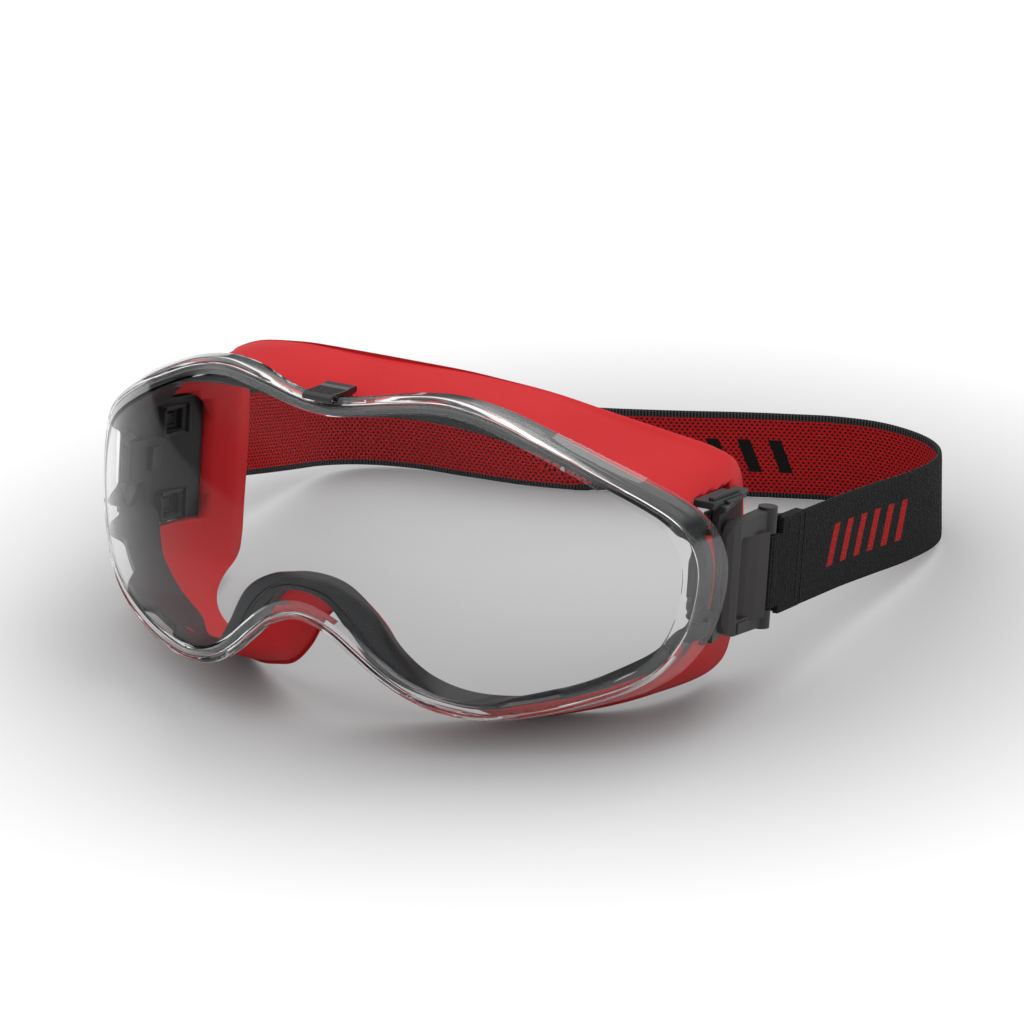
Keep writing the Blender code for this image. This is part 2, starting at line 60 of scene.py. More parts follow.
# Lens and face surfaces, outlines (x, z) of the left half and the band's route: the same as on the CAD part.
LENS_PLAN_RADIUS = 110.0
LENS_SIDE_RADIUS = 88.0
LENS_FRONT_Y = -5.7
LENS_MID_Z = -7.0
LENS_THICKNESS = 2.2
FLANGE_FLARE = 1.6
FACE_RADIUS = 82.0
FACE_FRONT_Y = 35.0
NOSE_REACH = 9.0
NOSE_WIDTH = 26.0
RIM = [(0, 31.5), (20, 34.3), (33, 35.2), (45, 32.8), (57.5, 27.5), (70, 20.8), (82, 13), (89, 6), (92.6, -3),
       (93, -13), (91, -24), (86.5, -33), (80, -38.8), (70, -43.3), (58, -47.2), (46, -49.4), (36, -48.2),
       (28, -45), (21, -40.2), (15, -35), (8, -29.5), (0, -27)]
RING_INNER = [(0, 26.4), (20, 28.2), (33, 27.8), (45, 25.9), (57.5, 22), (68, 16.8), (78, 10.5), (84.5, 4.6),
              (88.3, -3), (89, -13), (87.5, -21), (82.5, -28), (77, -32.4), (68, -37.4), (57, -41.4),
              (46, -44.4), (38, -44.4), (31.5, -40.8), (25.7, -33.5), (18.5, -22.5), (9.5, -16.6), (0, -15.6)]
RING_NOSE = [(0, -19.4), (7.5, -21.6), (13.5, -29), (19, -36.5), (26.5, -41.5)]
SEAL_LIP = [(0, 37.5), (20, 36.8), (33, 35), (45, 32.2), (57, 27.4), (67.5, 22), (74.5, 16.8), (77.8, 10.5),
            (78.7, -3), (78.7, -14), (78.5, -26), (78.2, -37), (76.6, -44.4), (69, -48.4), (59, -51.8),
            (48, -54.4), (37.5, -54.2), (28.5, -52), (20, -48.8), (13.5, -42.5), (7.5, -33), (0, -27.5)]
STRAP_ROUTE = [(96.4, 92.6, 22.0), (96.0, 106, 19.4), (95.4, 121, 16.4), (94.7, 142, 11.8), (94.4, 164, 7.2),
               (92.6, 185, 3.2), (87.8, 199.8, 0.7), (78.8, 208.2, 0.1), (65, 211.8, 0.1), (51, 210.6, 0.1),
               (38, 206.6, 0.1), (24, 201.6, 0.1), (6, 194.4, 0.1), (-14, 187.2, 0.1), (-34, 182, 0.1),
               (-54, 180, 0.1), (-72, 178.4, 0.2), (-86, 172.8, 0.9), (-93.6, 162.4, 2.9), (-95.4, 145, 7.2),
               (-95.5, 127, 12.3), (-95.9, 110, 17.1), (-96.4, 92.6, 22.0)]
STRAP_WIDTH = 26.0
STRAP_THICKNESS = 1.4

# How finely the outlines and the band's route are rounded: points for each one that is listed above.
LENS_STEPS = 9
RING_STEPS = 12
ROUTE_STEPS = 14

# Depths behind the lens's front surface.
LENS_EDGE_DEPTH = 2.6
FLANGE_REACH = 3.6
RING_FRONT = 2.75
RING_BACK = 9.6
SEAL_ROOT_DEPTH = 10.0
SEAL_INNER_DEPTH = 11.2

# Places on each side where the ring's front stands back and light shows behind the lens's edge: x, z, half
# length and depth.
WINDOWS = ((90.5, -8.0, 9.5, 5.2), (89.5, -23.8, 2.9, 4.6), (80.5, -34.5, 7.4, 5.4), (57.0, -43.5, 6.5, 3.6))
# The box that the seal leaves free for the left side plate.
NOTCH_LOW, NOTCH_HIGH = (80.0, 53.6, -28.5), (97.0, 77.3, 9.1)

# Weave of the headband, in millimetres: ribs across it, threads along it, and the dots and edges of its inside.
RIB_PITCH = 0.95
WEFT_PITCH = 0.62
DOT_PITCH = 1.55
DOT_ROW_PITCH = 1.0
WOVEN_EDGE = 1.8
# The slanted bars: how they lean, their pitch and the share of it that is coloured.
BAR_SLANT = -0.35
BAR_PITCH = 9.0
BAR_SHARE = 0.42

CAMERA_PLACE = (0.71641, -1.22115, 0.61579)
CAMERA_BACK = (0.46558, -0.79723, 0.38427)
CAMERA_RIGHT = (0.86863, 0.49478, -0.02593)
FOCAL_LENGTH = 196.4


# ---------------------------------------------------------------- geometry helpers

def to_row(points):
    """Millimetres in the goggles' own frame to metres in the row frame."""
    p = np.asarray(points, float)
    c, s = math.cos(LEAN), math.sin(LEAN)
    return np.stack([p[..., 0], p[..., 1] * c + p[..., 2] * s - CENTRE_BACK,
                     -p[..., 1] * s + p[..., 2] * c + ARCH_HEIGHT], -1) * MM


def smooth_step(value, start, ramp):
    """0 below start, 1 beyond start + ramp, and smooth between them."""
    t = np.clip((value - start) / ramp, 0.0, 1.0)
    return t * t * (3 - 2 * t)


def bump_at(value, centre, half_width):
    """A smooth bump of height 1, this wide, at a centre."""
    return np.exp(-(((value - centre) / half_width) ** 2))


def lens_y(x, z):
    plan = LENS_PLAN_RADIUS - np.sqrt(LENS_PLAN_RADIUS**2 - x**2)
    return LENS_FRONT_Y + plan + (z - LENS_MID_Z) ** 2 / (2 * LENS_SIDE_RADIUS)


def face_y(x, z):
    cheek = FACE_FRONT_Y + FACE_RADIUS - np.sqrt(FACE_RADIUS**2 - x**2)
    return cheek - NOSE_REACH * np.exp(-((x / NOSE_WIDTH) ** 2)) * smooth_step(-z, 2.0, 18.0)


def catmull(padded, steps):
    """A smooth curve through all the points but the first and the last two, which only steer it."""
    t = np.arange(steps)[:, None] / steps
    spans = []
    for a, b, c, d in zip(padded, padded[1:], padded[2:], padded[3:]):
        spans.append(0.5 * (2 * b + (c - a) * t + (2 * a - 5 * b + 4 * c - d) * t**2
                            + (3 * b - a - 3 * c + d) * t**3))
    return np.vstack(spans)


def closed_outline(half, steps):
    half = np.array(half, float)
    knots = np.vstack([half, half[-2:0:-1] * [-1, 1]])
    return catmull(np.vstack([knots[-1:], knots, knots[:2]]), steps)


def open_curve(points, steps):
    points = np.array(points, float)
    padded = np.vstack([2 * points[0] - points[1], points, 2 * points[-1] - points[-2]])
    return np.vstack([catmull(padded, steps), points[-1:]])


def inset(outline, distance):
    """The outline moved inwards by a distance, which may differ from point to point."""
    along = np.roll(outline, -1, 0) - np.roll(outline, 1, 0)
    along /= np.linalg.norm(along, axis=1)[:, None]
    inward = np.stack([along[:, 1], -along[:, 0]], 1)
    return outline + inward * np.reshape(distance, (-1, 1))


def at_depth(outline, y):
    return np.column_stack([outline[:, 0], y + 0 * outline[:, 0], outline[:, 1]])


def on_lens(outline, back):
    """The outline at this depth behind the lens's front surface."""
    return at_depth(outline, lens_y(outline[:, 0], outline[:, 1]) + back)


def flange_flare(outline):
    """How far the lens's flange spreads outwards: only along the sides."""
    x, z = outline.T
    return FLANGE_FLARE * lens_share(x, z) * smooth_step(np.abs(x), 30.0, 55.0)


def window_depth(outline):
    """How far the ring's front stands back at each point of the outline."""
    depth = np.zeros(len(outline))
    for x, z, half_length, reach in WINDOWS:
        away = np.hypot(np.abs(outline[:, 0]) - x, outline[:, 1] - z)
        depth = np.maximum(depth, reach * np.exp(-((away / half_length) ** 8)))
    return depth


def ring_outlines(steps):
    """The ring's outer and inner outlines. The outer one leaves the lens's rim at the nose arch."""
    rim = closed_outline(RIM, 1)
    side = smooth_step(np.abs(rim[:, 0]), 76.0, 14.0)
    outer_half = inset(rim, 3.4 - 0.9 * side)[: len(RIM)]
    outer_half[0, 0] = 0.0
    outer_half[len(RIM) - len(RING_NOSE):] = RING_NOSE[::-1]
    return closed_outline(outer_half, steps), closed_outline(RING_INNER, steps)


def seal_lip_y(outline):
    """The lip's depth, which turns forward at the lower corner of each cheek."""
    corner = bump_at(np.abs(outline[:, 0]), 68.0, 12.0) * smooth_step(-outline[:, 1], 38.0, 8.0)
    return face_y(outline[:, 0], outline[:, 1]) - 5.0 * corner


def seal_outlines(steps):
    """The seal's lip, its root behind the ring (outside and inside) and its free inner edge."""
    outer, inner = ring_outlines(steps)
    lip = closed_outline(SEAL_LIP, steps)
    root = inset(outer, 0.4)
    return lip, root, root + (inner - root) * 0.55, inset(lip, 1.9)


def seal_inside(root_in, edge, share, gap=0.0):
    """A ring of points on the seal's inner wall, this share of the way from the ring to the face."""
    share = np.ones(len(edge)) * share
    flat = root_in * (1 - share[:, None]) + edge * share[:, None]
    y = (lens_y(*root_in.T) + SEAL_INNER_DEPTH) * (1 - share) + (seal_lip_y(edge) - 0.5) * share
    return at_depth(inset(flat, gap), y)


def mesh_object(name, vertices, faces, material, smooth_angle=35, body=ROOT, slot=None):
    """A piece from points in the goggles' frame, with its normals outward, riding on a CAD body."""
    mesh = bpy.data.meshes.new(name)
    mesh.from_pydata(to_row(vertices).tolist(), [], faces)
    bm = bmesh.new()
    bm.from_mesh(mesh)
    bmesh.ops.recalc_face_normals(bm, faces=bm.faces)
    bm.to_mesh(mesh)
    bm.free()
    mesh.shade_smooth()
    mesh.set_sharp_from_angle(angle=math.radians(smooth_angle))
    mesh.materials.append(material)
    obj = bpy.data.objects.new(name, mesh)
    bpy.context.scene.collection.objects.link(obj)
    if body:
        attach(obj, body)
    return obj


def ring_faces(count, rings, closed):
    """Quads between rings of this many points. closed joins the last ring to the first."""
    faces = []
    for r in range(rings if closed else rings - 1):
        s = (r + 1) % rings
        for i in range(count):
            j = (i + 1) % count
            faces.append((r * count + i, r * count + j, s * count + j, s * count + i))
    return faces


def loft(name, rings, material, ends=None, **options):
    """A piece between rings of points: a closed hoop, or with two end points a body that closes at each."""
    count = len(rings[0])
    vertices = np.vstack(rings)
    faces = ring_faces(count, len(rings), closed=ends is None)
    if ends is not None:
        for k, end in enumerate(ends):
            base = 0 if k == 0 else (len(rings) - 1) * count
            tip = len(vertices)
            vertices = np.vstack([vertices, [end]])
            faces += [(base + i, base + (i + 1) % count, tip) for i in range(count)]
    return mesh_object(name, vertices, faces, material, **options)


def boxes(name, places, material, body=ROOT):
    """One piece made of boxes. Each is (low, high) in the goggles' frame."""
    vertices, faces = [], []
    for low, high in places:
        base = len(vertices)
        vertices += [(x, y, z) for x in (low[0], high[0]) for y in (low[1], high[1]) for z in (low[2], high[2])]
        faces += [tuple(base + i for i in quad) for quad in
                  ((0, 1, 3, 2), (4, 6, 7, 5), (0, 4, 5, 1), (2, 3, 7, 6), (0, 2, 6, 4), (1, 5, 7, 3))]
    return mesh_object(name, np.array(vertices), faces, material, body=body)


def on_side(low, high, side):
    """The left side's box, or its mirror image on the right."""
    near, far = sorted((low[0] * side, high[0] * side))
    return (near, *low[1:]), (far, *high[1:])


def cut_notches(obj):
    """Cuts the opening for each side plate out of a piece."""
    for side in (1, -1):
        place = on_side(NOTCH_LOW, NOTCH_HIGH, side)
        cutter = boxes("notch_cutter", [place], obj.data.materials[0], body=None)
        modifier = obj.modifiers.new("notch", "BOOLEAN")
        modifier.object = cutter
        bpy.context.view_layer.update()
        graph = bpy.context.evaluated_depsgraph_get()
        cut = bpy.data.meshes.new_from_object(obj.evaluated_get(graph))
        obj.modifiers.clear()
        obj.data = cut
        bpy.data.objects.remove(cutter, do_unlink=True)


def soften_edges(obj, width):
    modifier = obj.modifiers.new("soft_edges", "BEVEL")
    modifier.width = width * MM
    modifier.segments = 2
    modifier.limit_method = "ANGLE"
    modifier.angle_limit = math.radians(35)


# ---------------------------------------------------------------- materials

def new_material(name):
    material = bpy.data.materials.new(name)
    material.use_nodes = True
    tree = material.node_tree
    return material, tree, tree.nodes["Principled BSDF"]


def node(tree, kind, **settings):
    made = tree.nodes.new(kind)
    for key, value in settings.items():
        setattr(made, key, value)
    return made


def math_node(tree, operation, *values, clamp=False):
    made = node(tree, "ShaderNodeMath", operation=operation, use_clamp=clamp)
    for socket, value in zip(made.inputs, values):
        if hasattr(value, "links"):
            tree.links.new(value, socket)
        else:
            socket.default_value = value
    return made.outputs[0]


def mix_colour(tree, factor, a, b):
    made = node(tree, "ShaderNodeMix", data_type="RGBA")
    for socket, value in zip((made.inputs[0], made.inputs[6], made.inputs[7]), (factor, a, b)):
        if hasattr(value, "links"):
            tree.links.new(value, socket)
        else:
            socket.default_value = value if not isinstance(value, tuple) else (*value, 1.0)
    return made.outputs[2]


def object_noise(tree, scale, detail=2.0, roughness=0.5):
    place = node(tree, "ShaderNodeTexCoord")
    noise = node(tree, "ShaderNodeTexNoise")
    noise.inputs["Scale"].default_value = scale
    noise.inputs["Detail"].default_value = detail
    noise.inputs["Roughness"].default_value = roughness
    tree.links.new(place.outputs["Object"], noise.inputs["Vector"])
    return noise.outputs[0]


def add_bump(tree, shader, height, distance, strength=1.0):
    bump = node(tree, "ShaderNodeBump")
    bump.inputs["Distance"].default_value = distance
    bump.inputs["Strength"].default_value = strength
    tree.links.new(height, bump.inputs["Height"])
    tree.links.new(bump.outputs[0], shader.inputs["Normal"])


def plastic(name, colour, roughness, grain=0.00003, spread=0.08, coat=0.0, specular=0.5):
    """A moulded plastic or rubber, with a fine grain and a slight unevenness of colour and gloss."""
    material, tree, shader = new_material(name)
    broad = object_noise(tree, 45.0)
    fine = object_noise(tree, 1500.0, 1.0)
    light = tuple(min(1.0, c * (1 + spread)) for c in colour)
    dark = tuple(c * (1 - spread) for c in colour)
    tree.links.new(mix_colour(tree, broad, dark, light), shader.inputs["Base Color"])
    rough = math_node(tree, "MULTIPLY_ADD", fine, 0.12, roughness - 0.06)
    tree.links.new(rough, shader.inputs["Roughness"])
    add_bump(tree, shader, fine, grain)
    shader.inputs["Specular IOR Level"].default_value = specular
    shader.inputs["Coat Weight"].default_value = coat
    shader.inputs["Coat Roughness"].default_value = 0.15
    return material


def clear_plastic(name, bend):
    """Clear polycarbonate, with its index of refraction. Lamps shine through it onto what it covers."""
    material, tree, shader = new_material(name)
    tint = mix_colour(tree, object_noise(tree, 60.0), (0.975, 0.98, 0.985), (0.99, 0.992, 0.994))
    tree.links.new(tint, shader.inputs["Base Color"])
    shader.inputs["Roughness"].default_value = 0.0
    shader.inputs["IOR"].default_value = bend
    shader.inputs["Transmission Weight"].default_value = 1.0
    path = node(tree, "ShaderNodeLightPath")
    through = node(tree, "ShaderNodeBsdfTransparent")
    through.inputs[0].default_value = (0.86, 0.87, 0.875, 1.0)
    mixed = node(tree, "ShaderNodeMixShader")
    either = math_node(tree, "MAXIMUM", path.outputs["Is Shadow Ray"], path.outputs["Is Diffuse Ray"])
    tree.links.new(either, mixed.inputs[0])
    tree.links.new(shader.outputs[0], mixed.inputs[1])
    tree.links.new(through.outputs[0], mixed.inputs[2])
    tree.links.new(mixed.outputs[0], tree.nodes["Material Output"].inputs[0])
    return material


def calm_bounce(material):
    """Gives other surfaces a grey bounce from this material, as in a shot with its colour cast taken out."""
    tree = material.node_tree
    path = node(tree, "ShaderNodeLightPath")
    grey = node(tree, "ShaderNodeBsdfDiffuse")
    grey.inputs[0].default_value = (0.09, 0.08, 0.08, 1.0)
    mixed = node(tree, "ShaderNodeMixShader")
    tree.links.new(math_node(tree, "MULTIPLY", path.outputs["Is Diffuse Ray"], 0.75), mixed.inputs[0])
    tree.links.new(tree.nodes["Principled BSDF"].outputs[0], mixed.inputs[1])
    tree.links.new(grey.outputs[0], mixed.inputs[2])
    tree.links.new(mixed.outputs[0], tree.nodes["Material Output"].inputs[0])


def metal(name, colour, roughness):
    material, _, shader = new_material(name)
    shader.inputs["Base Color"].default_value = (*colour, 1.0)
    shader.inputs["Metallic"].default_value = 1.0
    shader.inputs["Roughness"].default_value = roughness
    return material


# The lens's window bends light less than its edge, which keeps a white veil off what lies behind it.
CLEAR = clear_plastic("clear_polycarbonate", 1.13)
CLEAR_EDGE = clear_plastic("clear_polycarbonate_edge", 1.5)
NYLON = plastic("dark_grey_nylon", (0.019, 0.0195, 0.021), 0.42, grain=0.000008, specular=0.35)
GLOSS_BLACK = plastic("gloss_black_hook", (0.012, 0.012, 0.013), 0.25, grain=0.00001, coat=0.15)
CLIP = plastic("strap_clip_nylon", (0.030, 0.027, 0.027), 0.5, specular=0.3)
SEAL = plastic("red_soft_seal", (0.58, 0.016, 0.020), 0.6, grain=0.00005, specular=0.16)
calm_bounce(SEAL)
THREAD = plastic("dark_thread", (0.03, 0.03, 0.031), 0.8, specular=0.1)
STEEL = metal("steel_pin", (0.5, 0.5, 0.52), 0.3)


# ---------------------------------------------------------------- lens

def lens_share(x, z):
    """How far the lens's flange stands out along the rim: none over the latch and over the nose."""
    x = np.abs(x)
    top = np.where(z > 0, smooth_step(x, 9.0, 18.0), 1.0)
    nose = np.where(z < 0, smooth_step(x, 24.0, 16.0), 1.0)
    return top * nose


def make_lens():
    """The clear visor: a stepped bead along its edge, and a flange that turns back round the frame ring."""
    rim = closed_outline(RIM, LENS_STEPS)
    share = lens_share(rim[:, 0], rim[:, 1])
    depth = LENS_EDGE_DEPTH + FLANGE_REACH * share
    flare = flange_flare(rim)
    centre = np.array([0.0, 2.0])
    shares = (0.06, 0.2, 0.35, 0.5, 0.62, 0.72, 0.8, 0.86, 0.9)
    rings = [on_lens(centre + (rim - centre) * part, 0.0) for part in shares]
    bead = [(4.2, 0.0), (3.0, 0.0), (2.3, 0.02), (2.1, 0.3), (1.8, 0.34), (1.6, 0.0), (1.3, -0.25), (0.9, -0.3),
            (0.5, -0.15), (0.2, 0.2), (0.05, 0.6), (0.0, 1.0)]
    rings += [on_lens(inset(rim, d), back) for d, back in bead]
    for part in (0.35, 0.7, 0.93):
        rings.append(on_lens(inset(rim, -flare * part), 1.0 + (depth - 1.0) * part))
    rings.append(on_lens(inset(rim, 0.25 - flare), depth + 0.12 * share))
    rings.append(on_lens(inset(rim, 1.3 - flare), depth + 0.12 * share))
    rings.append(on_lens(inset(rim, 1.6 - flare), depth * 0.93 + 0.1))
    rings.append(on_lens(inset(rim, 1.9 - flare * 0.4), LENS_EDGE_DEPTH + 0.3 + 0.25 * FLANGE_REACH * share))
    rings.append(on_lens(inset(rim, 2.3), LENS_THICKNESS + 0.05))
    rings.append(on_lens(inset(rim, 5.0), LENS_THICKNESS))
    rings += [on_lens(centre + (rim - centre) * part, LENS_THICKNESS) for part in shares[::-1]]
    middle = float(lens_y(np.array(0.0), centre[1]))
    ends = ((0, middle, centre[1]), (0, middle + LENS_THICKNESS, centre[1]))
    lens = loft("visor", rings, CLEAR, ends=ends, smooth_angle=20, slot="lens")
    lens.data.materials.append(CLEAR_EDGE)
    first_edge_face = len(shares) * len(rim)
    last_edge_face = (len(rings) - len(shares) - 1) * len(rim)
    for face in lens.data.polygons[first_edge_face:last_edge_face]:
        face.material_index = 1
    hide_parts("lens")


# ---------------------------------------------------------------- frame ring

def carrier_reach(outline):
    """Where the ring fills the lens's flange: from the latch to each temple, and at each lower hook."""
    x, z = np.abs(outline[:, 0]), outline[:, 1]
    top = np.where(z > 0, smooth_step(x, 22.0, 8.0) * smooth_step(z, 1.0, 2.5), 0.0)
    hook = smooth_step(-z, 18.0, 1.5) * (1 - smooth_step(-z, 25.0, 1.5)) * smooth_step(x, 70.0, 4.0)
    return np.maximum(top, hook)


def collar_share(outline):
    """How far the ring's inner wall reaches back along the seal: furthest at the cheeks and temples."""
    x, z = np.abs(outline[:, 0]), outline[:, 1]
    cheek = 0.46 - 0.24 * smooth_step(x, 58.0, 26.0)
    low = cheek * smooth_step(-z, 19.0, 7.0) * smooth_step(x, 38.0, 20.0)
    high = 0.30 * smooth_step(z, 3.0, 7.0) * smooth_step(x, 60.0, 12.0)
    side = 0.11 * smooth_step(x, 78.0, 6.0)
    return 0.03 + np.maximum(np.maximum(low, high), side)


def make_ring():
    """The dark ring seen through the lens: a stepped front, a rounded inner wall and a collar in the seal."""
    outer, inner = ring_outlines(RING_STEPS)
    _, _, root_in, edge = seal_outlines(RING_STEPS)
    reach = carrier_reach(outer)
    filled = inset(outer, -(0.9 + 0.75 * flange_flare(outer)) * reach)

    def across(share):
        return outer * (1 - share) + inner * share

    # Depths below are in millimetres where the ring has its full depth, and shrink with it at the windows.
    front = RING_FRONT + window_depth(outer)
    slack = (RING_BACK - 0.8 - front) / (RING_BACK - 0.8 - RING_FRONT)
    rings = [on_lens(outer, front + 0.5 * slack)]
    steps = ((0.06, 0.0), (0.34, 0.0), (0.38, 0.4), (0.47, 0.4), (0.51, 0.05), (0.8, 0.15), (0.92, 0.6),
             (1.0, 1.7), (1.0, 3.4))
    for share, depth in steps:
        rings.append(on_lens(across(share), front + depth * slack))
    wall = rings[-1]
    share = collar_share(outer)
    end = seal_inside(root_in, edge, share, 1.3)
    rings += [wall * (1 - part) + end * part for part in (0.3, 0.65, 1.0)]
    rings.append(seal_inside(root_in, edge, share, 0.45))
    rings += [on_lens(across(0.7), RING_BACK), on_lens(across(0.1), RING_BACK)]
    rings += [on_lens(filled, RING_BACK - 0.5 * slack), on_lens(filled, RING_BACK - 3.0 * slack)]
    rings.append(on_lens(filled, front + (1.2 + 0.4 * reach) * slack))
    ring = loft("carrier_ring", rings, NYLON, smooth_angle=30, slot="housing")
    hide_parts("frame_ring")


def make_side_details():
    """On each side: moulded blocks and oval bosses inside, the plate's snap frames, and its ridged top."""
    for side, word in ((1, "left"), (-1, "right")):
        places = [((85.8, 48.0, -15.4), (88.8, 58.5, -3.2)), ((84.6, 57.0, -12.6), (87.0, 61.0, -6.0)),
                  ((84.8, 50.5, 8.2), (91.0, 67.0, 10.2)), ((88.4, 52.0, 9.8), (90.0, 67.0, 11.1)),
                  ((90.6, 57.0, 8.9), (92.0, 67.0, 9.7))]
        for level in (-23.5, 0.5):
            places += [((83.0, 60.6, level - 4.2), (86.0, 71.6, level - 3.2)),
                       ((83.0, 60.6, level + 3.2), (86.0, 71.6, level + 4.2)),
                       ((83.4, 60.6, level - 4.2), (86.0, 61.6, level + 4.2)),
                       ((82.0, 70.8, level - 4.2), (84.6, 71.8, level + 4.2))]
        soften_edges(boxes(f"side_moulding_{word}", [on_side(*place, side) for place in places], NYLON), 0.25)
        for k, level in enumerate((-1.6, -17.4)):
            make_side_boss(f"side_boss_{word}_{k}", side, level)


def make_side_boss(name, side, level):
    """An oval boss with a dished face."""
    middle = np.array([0, 50.6, level])
    turn = np.linspace(0, 2 * math.pi, 33)[:-1]
    oval = np.column_stack([0 * turn, 3.4 * np.cos(turn), 4.1 * np.sin(turn)])
    base, rim, face, dish = 88.4, 86.5, 86.2, 86.8
    rings = [middle + oval * size + [side * x, 0, 0] for size, x in
             ((1.0, base), (1.0, rim), (0.86, face), (0.86, dish))]
    ends = (middle + [side * base, 0, 0], middle + [side * dish, 0, 0])
    loft(name, rings, GLOSS_BLACK, ends=ends, smooth_angle=40)


# ---------------------------------------------------------------- face seal

def make_seal():
    """The soft skirt: a root behind the ring, a flaring wall, and a thin rolled edge on the face."""
    lip, root, root_in, edge = seal_outlines(RING_STEPS)
    root_y, lip_y = lens_y(*root.T) + SEAL_ROOT_DEPTH, seal_lip_y(lip)
    dip = bump_at(np.abs(root[:, 0]), 64.0, 15.0) * (root[:, 1] > 0)
    rings = [on_lens(root, SEAL_ROOT_DEPTH)]
    for share in (0.08, 0.2, 0.35, 0.5, 0.65, 0.8, 0.9):
        bulge = 1.4 * math.sin(math.pi * min(1.0, share * 1.05)) ** 0.8 * (1 - 1.3 * dip)
        wall = root * (1 - share) + lip * share
        rings.append(at_depth(inset(wall, -bulge), root_y * (1 - share) + lip_y * share))
    for distance, back in ((-0.2, -2.4), (0.0, -1.3), (0.25, -0.6), (0.7, -0.1), (1.2, 0.0), (1.65, -0.2)):
        rings.append(at_depth(inset(lip, distance), lip_y + back))
    for share in (0.98, 0.9, 0.8, 0.65, 0.5, 0.35, 0.2, 0.1, 0.0):
        rings.append(seal_inside(root_in, edge, share))
    rings.append(on_lens(root_in, SEAL_ROOT_DEPTH))
    seal = loft("soft_seal", rings, SEAL, smooth_angle=70, slot="seal")
    cut_notches(seal)
    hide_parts("face_seal")


# ---------------------------------------------------------------- headband

def strap_frames():
    """The band's lower edge along its route, with the band's upward and outward directions there."""
    route = open_curve(STRAP_ROUTE, ROUTE_STEPS)
    floor_z = (route[:, 1] * math.sin(LEAN) - ARCH_HEIGHT) / math.cos(LEAN)
    lower = np.column_stack([route[:, 0], route[:, 1], floor_z + route[:, 2] / math.cos(LEAN)])
    turn = 1.0 - smooth_step(route[:, 2], 0.5, 14.0)
    up = np.column_stack([0 * turn, -np.sin(LEAN * turn), np.cos(LEAN * turn)])
    along = np.gradient(lower, axis=0)
    along /= np.linalg.norm(along, axis=1)[:, None]
    outward = np.cross(along, up)
    outward /= np.linalg.norm(outward, axis=1)[:, None]
    return lower, up, outward


def webbing_material(name, woven=True):
    """Woven elastic: ribbed black outside, and inside red with rows of black dots between ribbed black edges.

    A band's place in the weave is its weave attribute. A CAD piece has none (woven=False), and takes the ribbed
    outside by its own coordinates.
    """
    material, tree, shader = new_material(name)
    parts = node(tree, "ShaderNodeSeparateXYZ")
    if woven:
        weave = node(tree, "ShaderNodeAttribute", attribute_name="weave")
        tree.links.new(weave.outputs["Vector"], parts.inputs[0])
        along, across, inside = parts.outputs
    else:
        place = node(tree, "ShaderNodeTexCoord")
        turned = node(tree, "ShaderNodeMapping")
        turned.inputs["Rotation"].default_value = (LEAN, 0.0, 0.0)
        turned.inputs["Scale"].default_value = (1000.0, 1000.0, 1000.0)
        tree.links.new(place.outputs["Object"], turned.inputs[0])
        tree.links.new(turned.outputs[0], parts.inputs[0])
        _, along, across = parts.outputs

    def add(a, b):
        return math_node(tree, "ADD", a, b)

    def times(a, b):
        return math_node(tree, "MULTIPLY", a, b)

    def absolute(value):
        return math_node(tree, "ABSOLUTE", value)

    def wave(value, period):
        return math_node(tree, "SINE", times(value, 2 * math.pi / period))

    def between(value, low, high):
        return times(math_node(tree, "GREATER_THAN", value, low), math_node(tree, "LESS_THAN", value, high))

    def fraction(value):
        return math_node(tree, "FRACT", add(value, 500.0))

    def bars(from_middle, first, last):
        """A row of plain slanted bars between two places along the band, this far each way from its middle."""
        shown = times(math_node(tree, "LESS_THAN", width, from_middle), between(slant, first, last))
        return times(shown, between(fraction(times(slant, 1 / BAR_PITCH)), 0.0, BAR_SHARE))

    ribs, weft = wave(along, RIB_PITCH), wave(across, WEFT_PITCH)
    jitter = object_noise(tree, 900.0, 2.0)
    height = add(times(ribs, 0.5), times(weft, 0.35))
    # Random tone from the noise, made darker where the ribs and threads sink and lighter on their crests:
    # partly painted shade in the weave's grooves.
    speckle_and_groove_shade = math_node(tree, "MULTIPLY", jitter, add(height, 0.65), clamp=True)
    colour = mix_colour(tree, speckle_and_groove_shade, (0.005, 0.005, 0.006), (0.042, 0.042, 0.044))
    if woven:
        slant = add(along, times(across, BAR_SLANT))
        width = absolute(across)
        marked = mix_colour(tree, speckle_and_groove_shade, (0.30, 0.012, 0.012), (0.62, 0.035, 0.03))
        outside = mix_colour(tree, bars(5.6, 13.0, 67.0), colour, marked)
        # The inside: diamond-shaped dots in staggered rows, and black bars further along the band.
        row = times(across, 1 / DOT_ROW_PITCH)
        odd = math_node(tree, "MODULO", math_node(tree, "FLOOR", add(row, 100.0)), 2.0)
        cell_x = add(fraction(add(times(along, 1 / DOT_PITCH), times(odd, 0.5))), -0.5)
        cell_y = add(fraction(row), -0.5)
        dot = math_node(tree, "LESS_THAN", add(times(absolute(cell_x), 1.2), absolute(cell_y)), 0.43)
        red = mix_colour(tree, jitter, (0.42, 0.008, 0.010), (0.72, 0.02, 0.024))
        lining = mix_colour(tree, dot, red, (0.020, 0.012, 0.012))
        lining = mix_colour(tree, bars(5.0, 158.0, 206.0), lining, (0.012, 0.010, 0.010))
        edge = math_node(tree, "GREATER_THAN", width, STRAP_WIDTH / 2 - WOVEN_EDGE)
        # The woven edges: grey on each rib's crest and black in its groove, a painted highlight and shade that
        # follow the ribs.
        edge_rib_shade = mix_colour(tree, add(times(ribs, 0.5), 0.5), (0.004, 0.004, 0.005), (0.07, 0.07, 0.072))
        colour = mix_colour(tree, inside, outside, mix_colour(tree, edge, lining, edge_rib_shade))
    tree.links.new(colour, shader.inputs["Base Color"])
    add_bump(tree, shader, add(height, times(jitter, 0.5)), 0.00025, 0.8)
    shader.inputs["Roughness"].default_value = 0.88
    shader.inputs["Specular IOR Level"].default_value = 0.1
    return material


